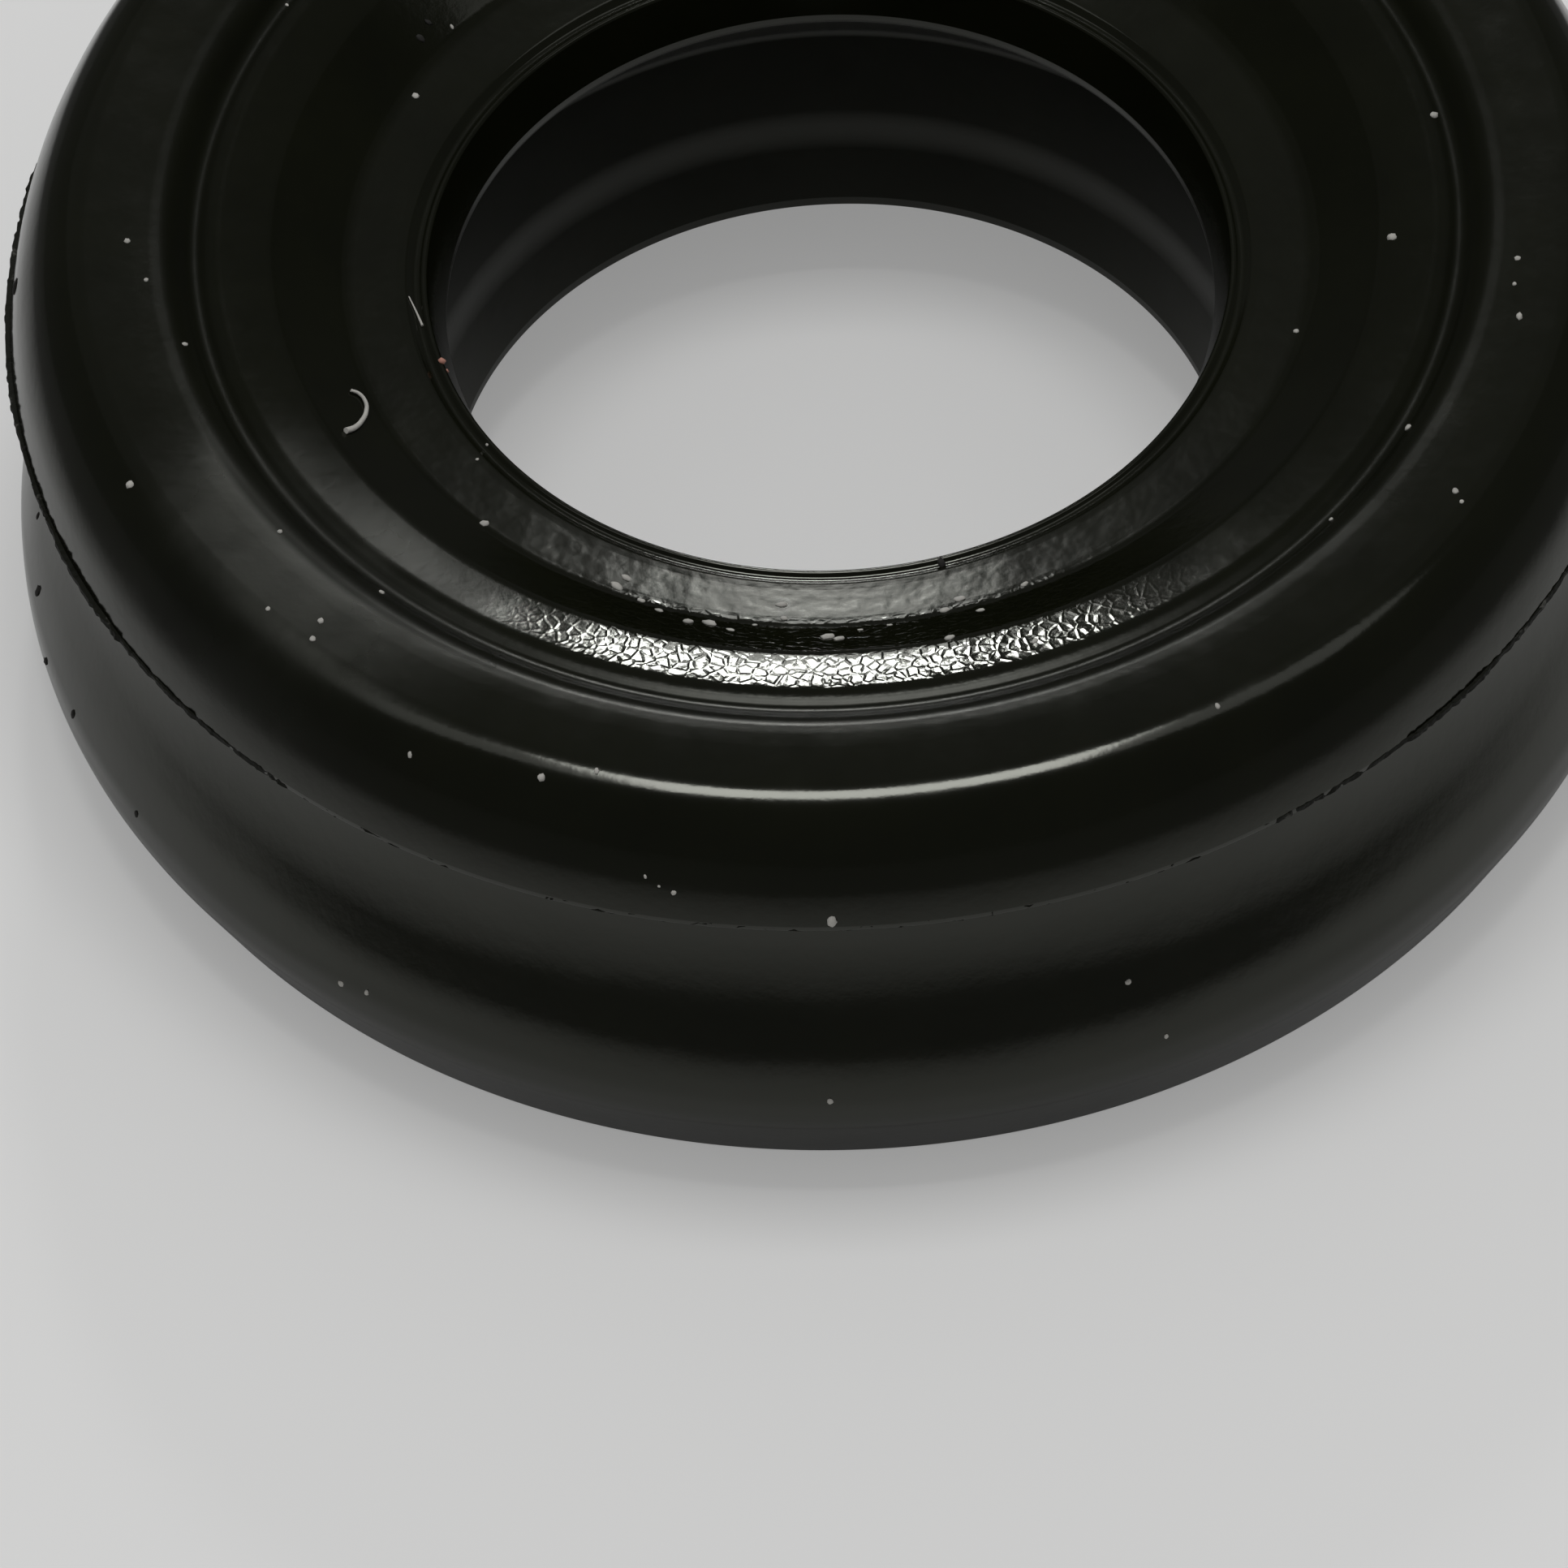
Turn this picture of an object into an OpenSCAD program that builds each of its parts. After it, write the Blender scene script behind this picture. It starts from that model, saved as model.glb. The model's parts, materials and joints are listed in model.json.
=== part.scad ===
// Moulded rubber shaft seal: one solid ring with two sealing lips in its bore,
// a stepped funnel on the upper side, and outside a parting rim over a cove that
// flares down to a pressing rib.
// Origin at the centre of the bottom face, +Z towards the funnel side.

/* [Fit] */
// Diameter of the shaft that turns in the seal
shaft_d = 12; // [11:0.25:13]
// Diameter of the housing bore that the ring presses into
housing_d = 25; // [24.5:0.5:30]
// Height of the ring
height = 8; // [7.5:0.25:11]

/* [Upper lip] */
// How much smaller the bore of the upper lip is than the shaft
upper_bite = 0.25; // [0.15:0.05:0.5]
// Depth of the top of the upper lip's land below the top face
upper_depth = 1.9; // [1.75:0.05:2.2]
// Height of the straight land of the upper lip
upper_land = 0.16; // [0.1:0.02:0.4]
// Height of the lip's steep front, from the land up to the bead
front_h = 0.84; // [0.7:0.02:0.95]
// Width of the lip's steep front
front_w = 0.28; // [0.2:0.02:0.4]
// Width of the fine groove behind the bead
bead_groove_w = 0.3; // [0.2:0.02:0.4]
// Depth of the fine groove behind the bead
bead_groove_h = 0.12; // [0.06:0.02:0.2]

/* [Funnel] */
// Rise of the funnel floor, from the bead out to the slope
floor_rise = 0.16; // [0.08:0.02:0.3]
// Width of the slope between the funnel floor and the terrace
slope_w = 1.03; // [0.8:0.05:1.3]
// Width of the terrace
terrace_w = 0.92; // [0.7:0.05:1.2]
// Fall of the terrace towards the slope
terrace_fall = 0.13; // [0.06:0.01:0.2]
// Depth of the terrace's outer edge below the top face
terrace_depth = 0.18; // [0.1:0.02:0.3]
// Width of the ring groove outside the terrace
groove_w = 0.61; // [0.5:0.03:0.8]
// Depth of the ring groove below the terrace's outer edge
groove_h = 0.12; // [0.06:0.02:0.2]
// Fall of the top face's inner part towards the ring groove
top_fall = 0.02; // [0.01:0.01:0.06]

/* [Shoulder] */
// Width of the top face, from its outer edge in to the ring groove
top_w = 1.8; // [1.5:0.05:2.1]
// Width of the level outer part of the top face
level_w = 1.2; // [1:0.05:1.4]
// Distance of the top face's edge inside the lower rib
shoulder_w = 0.8; // [0.6:0.05:1]
// Height of the shoulder, from the parting rim up to the top face
shoulder_h = 1.9; // [1.6:0.05:2.2]
// How far the middle of the shoulder bulges beyond a straight cone
shoulder_belly = 0.2; // [0.1:0.02:0.26]

/* [Outside] */
// How far the lower rib stands beyond the housing bore, to press in it
press_w = 0.1; // [0.05:0.01:0.2]
// How far the parting rim stays inside the lower rib
rim_step = 0.05; // [0.02:0.01:0.1]
// Thickness of the parting rim's edge
rim_h = 0.1; // [0.06:0.02:0.2]
// Height of the slant under the parting rim
rim_slant_h = 0.3; // [0.2:0.05:0.5]
// Depth of the cove under the parting rim
cove_w = 0.9; // [0.6:0.05:1]
// Height of the cove's straight wall
cove_h = 0.6; // [0.4:0.05:0.8]
// Height of the middle of the lower rib above the bottom face
lower_rib_z = 1.8; // [1.6:0.05:2]
// Height of the lower rib's land
lower_rib_h = 0.6; // [0.4:0.05:0.8]
// How far the bottom face's outer edge is drawn in
foot_w = 0.75; // [0.6:0.05:0.9]

/* [Bore and lower lip] */
// How much smaller the bore of the lower lip is than the shaft
lower_bite = 0.05; // [0.02:0.01:0.1]
// Height of the lower lip's land above the bottom face
lower_z = 1.6; // [1.4:0.05:1.8]
// Height of the straight land of the lower lip
lower_land = 0.16; // [0.1:0.02:0.4]
// Depth of the grease recess behind the upper lip, beyond the land
recess_w = 1.1; // [0.9:0.05:1.2]
// Height of the slant that undercuts the upper lip
undercut_h = 1.4; // [1.2:0.05:1.6]
// Height of the middle of the belt, the steep band between the lips
belt_z = 2.9; // [2.75:0.05:3.05]
// Height of the belt
belt_h = 0.45; // [0.3:0.05:0.6]
// Distance of the belt outside the lower lip
belt_w = 0.44; // [0.36:0.02:0.5]
// Height of the chamfer at the bottom, under the flare
bottom_h = 0.5; // [0.3:0.05:0.7]
// Width of the flare under the lower lip
flare_w = 1.3; // [1.1:0.05:1.6]
// Width of the chamfer at the bottom, beyond the flare
bottom_w = 0.5; // [0.3:0.05:0.7]

/* [Rounding] */
// Fillet at the edges of the lips
lip_r = 0.04; // [0.02:0.01:0.06]
// Fillet of fine grooves and beads
fine_r = 0.1; // [0.05:0.01:0.15]
// Fillet at both ends of the slope between the funnel floor and the terrace
slope_r = 0.5; // [0.3:0.05:0.8]
// Fillet of the ring groove
groove_r = 0.7; // [0.5:0.05:1]
// Fillet of the foot, the belt and the recess
step_r = 0.22; // [0.14:0.02:0.3]
// Fillet between the top face and the shoulder
edge_r = 0.9; // [0.6:0.05:1]
// Fillet of the shoulder's middle
shoulder_r = 2.4; // [1.6:0.1:3]
// Fillet of the lower rib and of the level strip
rib_r = 1; // [0.6:0.1:1.4]
// Fillet along the cove's flank
flank_r = 4; // [3:0.5:6]

/* [Hidden] */
// Largest turn, in degrees, of one facet along a fillet
arc_step = 11;
// Longest part of an edge that a fillet may take at each end
fillet_share = 0.48;
$fn = 180;

// How much the belt narrows downwards
belt_taper = 0.04;
// Corners of the cove's flank, as shares of its depth and of its height
flank = [[0.12, 0.25], [0.38, 0.5], [0.78, 0.78]];

// Radii
shaft_r = shaft_d / 2;
out_r = housing_d / 2 + press_w;
upper_r = shaft_r - upper_bite / 2;
lower_r = shaft_r - lower_bite / 2;
bead_r = upper_r + front_w;
floor_r = bead_r + bead_groove_w;
top_out_r = out_r - shoulder_w;
top_in_r = top_out_r - top_w;
terrace_out_r = top_in_r - groove_w;
terrace_in_r = terrace_out_r - terrace_w;
slope_in_r = terrace_in_r - slope_w;
rim_r = out_r - rim_step;
cove_r = out_r - cove_w;
flare_r = lower_r + flare_w;

// Heights
upper_z = height - upper_depth;
bead_z = upper_z + front_h;
terrace_z = height - terrace_depth;
parting_z = height - shoulder_h;
rim_z = parting_z - rim_h;
cove_top = rim_z - rim_slant_h;
cove_z = cove_top - cove_h;
rib_top = lower_rib_z + lower_rib_h / 2;
recess_z = upper_z - upper_land - undercut_h;
lower_top_z = lower_z + lower_land;

// The section's corners as [radius, height, fillet], from the upper lip round
// the outside and back up the bore
section = [
    [upper_r, upper_z, lip_r],
    [bead_r, bead_z, fine_r],
    [(bead_r + floor_r) / 2, bead_z - bead_groove_h, fine_r],
    [floor_r, bead_z, fine_r],
    [slope_in_r, bead_z + floor_rise, slope_r],
    [terrace_in_r, terrace_z - terrace_fall, slope_r],
    [terrace_out_r, terrace_z, groove_r],
    [(terrace_out_r + top_in_r) / 2, terrace_z - groove_h, groove_r],
    [top_in_r, height - top_fall, groove_r],
    [top_out_r - level_w, height, rib_r],
    [top_out_r, height, edge_r],
    [(top_out_r + rim_r) / 2 + shoulder_belly, (height + parting_z) / 2, shoulder_r],
    [rim_r, parting_z, lip_r],
    [rim_r, rim_z, lip_r],
    [cove_r, cove_top, fine_r],
    [cove_r, cove_z, flank_r],
    for (q = flank) [cove_r + q.x * cove_w, cove_z + q.y * (rib_top - cove_z), flank_r],
    [out_r, rib_top, rib_r],
    [out_r, lower_rib_z - lower_rib_h / 2, rib_r],
    [out_r - foot_w, 0, step_r],
    [flare_r + bottom_w, 0, fine_r],
    [flare_r, bottom_h, fine_r],
    [lower_r, lower_z, lip_r],
    [lower_r, lower_top_z, lip_r],
    [lower_r + belt_w - belt_taper, belt_z - belt_h / 2, step_r],
    [lower_r + belt_w, belt_z + belt_h / 2, step_r],
    [upper_r + recess_w, recess_z, step_r],
    [upper_r, upper_z - upper_land, lip_r]
];

function unit(v) = v / norm(v);

// Points of the fillet of radius r at corner b, between its neighbours a and c
function fillet(a, b, c, r) =
    let (
        to_a = unit(a - b),
        to_c = unit(c - b),
        half = acos(to_a * to_c) / 2,
        reach = min(r / tan(half), fillet_share * min(norm(a - b), norm(c - b))),
        centre = b + unit(to_a + to_c) * reach / cos(half),
        start = b + to_a * reach - centre,
        turn = (180 - 2 * half) * sign(cross(to_c, to_a)),
        steps = ceil(abs(turn) / arc_step)
    )
    [
        for (k = [0 : steps])
            let (t = turn * k / steps)
            centre + [start.x * cos(t) - start.y * sin(t), start.x * sin(t) + start.y * cos(t)]
    ];

// The closed outline of corners [x, y, fillet], with every corner rounded
function rounded(corners) =
    let (n = len(corners), p = [for (q = corners) [q.x, q.y]])
    [for (i = [0 : n - 1]) each fillet(p[(i + n - 1) % n], p[i], p[(i + 1) % n], corners[i].z)];

module seal_ring() {
    color("#1d1d1b")
        rotate_extrude()
            polygon(rounded(section));
}

seal_ring();
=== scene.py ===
"""Shaft seal: a moulded rubber ring, the flash on its parting rim and its dust, with stage and camera."""
import json
import math
import random

import bmesh
import bpy
from mathutils import Matrix, Vector
from mathutils.bvhtree import BVHTree


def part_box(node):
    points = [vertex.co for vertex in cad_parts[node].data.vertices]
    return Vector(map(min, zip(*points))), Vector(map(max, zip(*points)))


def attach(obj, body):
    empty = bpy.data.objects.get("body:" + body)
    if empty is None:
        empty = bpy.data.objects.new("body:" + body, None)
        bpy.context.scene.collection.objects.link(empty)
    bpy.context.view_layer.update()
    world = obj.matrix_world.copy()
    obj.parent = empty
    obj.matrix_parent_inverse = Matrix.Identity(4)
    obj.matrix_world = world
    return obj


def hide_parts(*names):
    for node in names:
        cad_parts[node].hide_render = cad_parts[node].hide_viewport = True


bl_info = {
    "name": "Shaft Seal",
    "version": (1, 0, 0),
    "blender": (4, 5, 0),
    "location": "3D View > Sidebar > Shaft Seal",
    "description": "Models a moulded rubber shaft seal with its stage, lights and camera",
    "category": "Object",
}

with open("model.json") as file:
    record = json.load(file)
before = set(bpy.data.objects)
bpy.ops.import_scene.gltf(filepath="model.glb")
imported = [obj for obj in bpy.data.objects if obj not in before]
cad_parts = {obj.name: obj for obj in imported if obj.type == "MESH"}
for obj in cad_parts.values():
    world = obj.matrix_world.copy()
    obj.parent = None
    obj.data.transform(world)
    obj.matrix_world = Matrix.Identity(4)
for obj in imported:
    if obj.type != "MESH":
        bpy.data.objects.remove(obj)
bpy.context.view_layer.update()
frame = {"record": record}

MM = 0.001
MOUNTS = {mount["name"]: mount for mount in frame["record"]["mounts"]}
BASE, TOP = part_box("seal_ring")
# The camera's square frame, its scale at the upper lip, and where it shows the ring's axis there
FRAME_PX = 1932
PX_PER_MM = 80.64
AXIS_PX = (1023.0, 370.1)
# Width of one pixel there, in metres
PX = MM / PX_PER_MM
# Corners of the cove's flank, as shares of its depth and of its height
COVE_FLANK = ((0.12, 0.25), (0.38, 0.5), (0.78, 0.78))
# The most of an edge that one fillet takes, and how far one of its facets turns, in degrees
FILLET_SHARE = 0.48
FILLET_TURN = 7
# Edges that turn by less than this many degrees are shaded smooth
SMOOTH_TURN = 40


def mount_radius(name):
    """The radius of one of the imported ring's round mounts, in metres."""
    return MOUNTS[name]["dims"]["r_mm"] * MM


def length(name, description, millimetres):
    """A size property whose default is given in millimetres."""
    return bpy.props.FloatProperty(
        name=name, description=description, default=millimetres * MM, precision=5, unit="LENGTH"
    )


def colour(name, description, rgb):
    """A colour property, in linear red, green and blue."""
    return bpy.props.FloatVectorProperty(
        name=name, description=description, default=rgb, size=3, min=0.0, max=1.0, subtype="COLOR"
    )


def share(name, description, value):
    """A property between 0 and 1."""
    return bpy.props.FloatProperty(
        name=name, description=description, default=value, min=0.0, max=1.0, subtype="FACTOR"
    )


# ---------------------------------------------------------------- properties


class SealSection(bpy.types.PropertyGroup):
    """Sizes of the ring's section, from the lips out to the ribs."""

    upper_depth: length("Upper lip depth", "Top of the upper lip's land below the top face", 1.9)
    land: length("Lip land", "Height of the straight land of each lip", 0.16)
    front_h: length("Front height", "Height of the upper lip's steep front", 0.84)
    front_w: length("Front width", "Width of the upper lip's steep front", 0.28)
    bead_groove_w: length("Bead groove width", "Width of the fine groove behind the bead", 0.3)
    bead_groove_h: length("Bead groove depth", "Depth of the fine groove behind the bead", 0.12)
    floor_rise: length("Floor rise", "Rise of the funnel floor out to the slope", 0.16)
    slope_w: length("Slope width", "Width of the slope up to the terrace", 1.03)
    terrace_w: length("Terrace width", "Width of the terrace", 0.92)
    terrace_fall: length("Terrace fall", "Fall of the terrace towards the slope", 0.13)
    terrace_depth: length("Terrace depth", "Terrace's outer edge below the top face", 0.18)
    groove_w: length("Groove width", "Width of the ring groove outside the terrace", 0.61)
    groove_h: length("Groove depth", "Depth of the ring groove below the terrace", 0.12)
    top_fall: length("Top fall", "Fall of the top face towards the ring groove", 0.02)
    top_w: length("Top width", "Width of the top face", 1.8)
    level_w: length("Level width", "Width of the level outer part of the top face", 1.2)
    shoulder_w: length("Shoulder width", "Top edge's distance inside the lower rib", 0.8)
    shoulder_h: length("Shoulder height", "Height from the parting rim to the top", 1.9)
    shoulder_belly: length("Shoulder belly", "Bulge of the shoulder beyond a cone", 0.2)
    rim_step: length("Rim step", "Parting rim's distance inside the lower rib", 0.05)
    rim_h: length("Rim thickness", "Thickness of the parting rim's edge", 0.1)
    rim_slant_h: length("Rim slant", "Height of the slant under the parting rim", 0.3)
    cove_w: length("Cove depth", "Depth of the cove under the parting rim", 0.9)
    cove_h: length("Cove wall", "Height of the cove's straight wall", 0.6)
    lower_rib_z: length("Lower rib place", "Middle of the lower rib above the bottom", 1.8)
    lower_rib_h: length("Lower rib height", "Height of the lower rib's land", 0.6)
    foot_w: length("Foot width", "How far the bottom's outer edge is drawn in", 0.75)
    recess_w: length("Recess depth", "Depth of the recess behind the upper lip", 1.1)
    undercut_h: length("Undercut height", "Slant that undercuts the upper lip", 1.4)
    belt_z: length("Belt place", "Middle of the steep band between the lips", 2.9)
    belt_h: length("Belt height", "Height of the steep band between the lips", 0.45)
    belt_w: length("Belt distance", "Distance of the belt outside the lower lip", 0.44)
    belt_taper: length("Belt taper", "How much the belt narrows downwards", 0.04)
    bottom_h: length("Bottom chamfer height", "Chamfer under the flare", 0.5)
    bottom_w: length("Bottom chamfer width", "Chamfer beyond the flare", 0.5)
    flare_w: length("Flare width", "Width of the flare under the lower lip", 1.3)
    lip_r: length("Lip fillet", "Fillet at the edges of the lips", 0.04)
    fine_r: length("Fine fillet", "Fillet of fine grooves and beads", 0.1)
    groove_r: length("Groove fillet", "Fillet of the ring groove", 0.7)
    step_r: length("Step fillet", "Fillet of the foot, the belt and the recess", 0.22)
    slope_r: length("Slope fillet", "Fillet at both ends of the slope", 0.5)
    edge_r: length("Edge fillet", "Fillet between the top face and the shoulder", 0.9)
    shoulder_r: length("Shoulder fillet", "Fillet of the shoulder's middle", 2.4)
    rib_r: length("Rib fillet", "Fillet of the lower rib and of the level strip", 1.0)
    flank_r: length("Flank fillet", "Fillet along the cove's flank", 4.0)
    spin_steps: bpy.props.IntProperty(
        name="Spin steps", description="Facets round the ring", default=480, min=96, max=720
    )


class RubberFinish(bpy.types.PropertyGroup):
    """Colours and gloss of the rubber and of what lies on it."""

    rubber: colour("Rubber", "Black moulded rubber", (0.0030, 0.0034, 0.0012))
    # This colour also paints the glint specks on the slope: painted highlights
    dust: colour("Dust", "Pale dust and lint", (0.40, 0.39, 0.36))
    crumb: colour("Crumbs", "Black crumbs of rubber", (0.012, 0.011, 0.009))
    pink: colour("Pink speck", "Faded pink speck at the lip", (0.42, 0.2, 0.15))
    gloss: share("Roughness", "Roughness of the moulded skin", 0.115)


class StageSetup(bpy.types.PropertyGroup):
    """Floor, lights and camera."""

    floor: colour("Floor", "Pale studio floor", (0.80, 0.80, 0.795))
    ambient: share("Room light", "Level of the even light of the room", 0.39)
    backdrop: share("Backdrop", "How much of the floor shows at an even level", 0.43)
    mirrored: share("Mirrored room", "Level of the room as the rubber mirrors it", 0.07)
    elevation: bpy.props.FloatProperty(
        name="Camera elevation",
        description="Angle of the camera above the floor",
        default=math.radians(48.47),
        unit="ROTATION",
    )
    roll: bpy.props.FloatProperty(
        name="Camera roll",
        description="Turn of the camera about its own axis",
        default=math.radians(-2.87),
        unit="ROTATION",
    )
    distance: length("Camera distance", "Distance from the camera to the upper lip", 450.0)


# ------------------------------------------------------------------ helpers


def deselect_all():
    """Leaves nothing selected, so that an operator acts on new work only."""
    if bpy.context.object and bpy.context.object.mode != "OBJECT":
        bpy.ops.object.mode_set(mode="OBJECT")
    bpy.ops.object.select_all(action="DESELECT")


def make_active(piece):
    """Selects one piece alone and makes it the active one."""
    deselect_all()
    piece.select_set(True)
    bpy.context.view_layer.objects.active = piece


def select_vertices(piece, places):
    """Selects the vertices of the piece in edit mode that lie nearest to the places."""
    mesh = bmesh.from_edit_mesh(piece.data)
    for vertex in mesh.verts:
        vertex.select_set(False)
    for place in places:
        nearest = min(mesh.verts, key=lambda vertex: (vertex.co - place).length)
        nearest.select_set(True)
    bmesh.update_edit_mesh(piece.data)


def select_arc(piece, radius, middle, half):
    """Selects the vertices of the piece in edit mode beyond a radius, in an arc about the axis."""
    mesh = bmesh.from_edit_mesh(piece.data)
    for vertex in mesh.verts:
        turn = math.atan2(vertex.co.y, vertex.co.x) - middle
        away = abs(math.remainder(turn, math.tau))
        vertex.select_set(away < half and vertex.co.xy.length > radius)
    mesh.select_flush(True)
    bmesh.update_edit_mesh(piece.data)


def place_at_origin(piece):
    """Moves a piece's place into its mesh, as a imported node's is."""
    make_active(piece)
    bpy.ops.object.transform_apply(location=True, rotation=True, scale=True)


def dress(piece, material):
    """Gives a finished piece its material and lets it move with the ring."""
    piece.data.materials.clear()
    piece.data.materials.append(material)
    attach(piece, "root")


# ------------------------------------------------------------------ section


def section_corners(s):
    """The section's corners as (radius, height, fillet), from the upper lip round the outside."""
    height = TOP.z
    out_r = mount_radius("outside_rib")
    upper_r = mount_radius("upper_lip_bore")
    lower_r = mount_radius("lower_lip_bore")
    lower_z = MOUNTS["lower_lip_bore"]["pos_m"][2] - s.land / 2
    lower_top = lower_z + s.land
    upper_z = height - s.upper_depth
    bead_r = upper_r + s.front_w
    bead_z = upper_z + s.front_h
    floor_r = bead_r + s.bead_groove_w
    top_out = out_r - s.shoulder_w
    top_in = top_out - s.top_w
    terrace_out = top_in - s.groove_w
    terrace_in = terrace_out - s.terrace_w
    terrace_z = height - s.terrace_depth
    parting_z = height - s.shoulder_h
    rim_r = out_r - s.rim_step
    rim_z = parting_z - s.rim_h
    cove_r = out_r - s.cove_w
    cove_z = rim_z - s.rim_slant_h - s.cove_h
    rib_top = s.lower_rib_z + s.lower_rib_h / 2
    flank = [
        (cove_r + width * s.cove_w, cove_z + drop * (rib_top - cove_z), s.flank_r)
        for width, drop in COVE_FLANK
    ]
    flare_r = lower_r + s.flare_w
    return [
        (upper_r, upper_z, s.lip_r),
        (bead_r, bead_z, s.fine_r),
        ((bead_r + floor_r) / 2, bead_z - s.bead_groove_h, s.fine_r),
        (floor_r, bead_z, s.fine_r),
        (terrace_in - s.slope_w, bead_z + s.floor_rise, s.slope_r),
        (terrace_in, terrace_z - s.terrace_fall, s.slope_r),
        (terrace_out, terrace_z, s.groove_r),
        ((terrace_out + top_in) / 2, terrace_z - s.groove_h, s.groove_r),
        (top_in, height - s.top_fall, s.groove_r),
        (top_out - s.level_w, height, s.rib_r),
        (top_out, height, s.edge_r),
        ((top_out + rim_r) / 2 + s.shoulder_belly, (height + parting_z) / 2, s.shoulder_r),
        (rim_r, parting_z, s.lip_r),
        (rim_r, rim_z, s.lip_r),
        (cove_r, rim_z - s.rim_slant_h, s.fine_r),
        (cove_r, cove_z, s.flank_r),
        *flank,
        (out_r, rib_top, s.rib_r),
        (out_r, s.lower_rib_z - s.lower_rib_h / 2, s.rib_r),
        (out_r - s.foot_w, 0.0, s.step_r),
        (flare_r + s.bottom_w, 0.0, s.fine_r),
        (flare_r, s.bottom_h, s.fine_r),
        (lower_r, lower_z, s.lip_r),
        (lower_r, lower_top, s.lip_r),
        (lower_r + s.belt_w - s.belt_taper, s.belt_z - s.belt_h / 2, s.rib_r),
        (lower_r + s.belt_w, s.belt_z + s.belt_h / 2, s.rib_r),
        (upper_r + s.recess_w, upper_z - s.land - s.undercut_h, s.step_r),
        (upper_r, upper_z - s.land, s.lip_r),
    ]


def fillet_reach(before, corner, after, radius):
    """Length that a fillet takes of each edge at a corner, and its turn in degrees."""
    to_before = (before - corner).normalized()
    to_after = (after - corner).normalized()
    half = to_before.angle(to_after) / 2
    longest = FILLET_SHARE * min((before - corner).length, (after - corner).length)
    return min(radius / math.tan(half), longest), 180 - 2 * math.degrees(half)


def draw_section(name, corners):
    """Draws the closed outline of the section in the XZ plane, and rounds its corners."""
    places = [Vector((radius, 0.0, height)) for radius, height, _ in corners]
    deselect_all()
    bpy.ops.mesh.primitive_plane_add(size=MM, location=places[0])
    piece = bpy.context.object
    piece.name = name
    bpy.ops.object.transform_apply(location=True, rotation=True, scale=True)
    bpy.ops.object.mode_set(mode="EDIT")
    bpy.ops.mesh.select_mode(type="VERT")
    bpy.ops.mesh.select_all(action="SELECT")
    bpy.ops.mesh.merge(type="CENTER")
    for here, there in zip(places, places[1:]):
        bpy.ops.mesh.extrude_region_move(TRANSFORM_OT_translate={"value": there - here})
    select_vertices(piece, (places[0], places[-1]))
    bpy.ops.mesh.edge_face_add()
    for index, (place, corner) in enumerate(zip(places, corners)):
        after = places[(index + 1) % len(places)]
        reach, turn = fillet_reach(places[index - 1], place, after, corner[2])
        select_vertices(piece, (place,))
        bpy.ops.mesh.bevel(
            affect="VERTICES",
            offset_type="OFFSET",
            offset=reach,
            segments=max(2, math.ceil(turn / FILLET_TURN)),
            profile=0.5,
            clamp_overlap=False,
        )
    return piece


def spin_section(steps):
    """Turns the outline that is being edited once round the axis into a closed ring."""
    bpy.ops.mesh.select_all(action="SELECT")
    bpy.ops.mesh.spin(steps=steps, angle=math.tau, center=(0, 0, 0), axis=(0, 0, 1))
    bpy.ops.mesh.select_all(action="SELECT")
    bpy.ops.mesh.remove_doubles(threshold=0.001 * MM)
    bpy.ops.mesh.normals_make_consistent(inside=False)
    bpy.ops.object.mode_set(mode="OBJECT")


def weight_normals(piece):
    """Shades fillets smooth and keeps broad faces even."""
    make_active(piece)
    bpy.ops.object.shade_smooth_by_angle(angle=math.radians(SMOOTH_TURN))
    modifier = piece.modifiers.new("Even faces", "WEIGHTED_NORMAL")
    modifier.keep_sharp = True
    bpy.ops.object.modifier_apply(modifier=modifier.name)


# ---------------------------------------------------------------- materials


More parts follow.
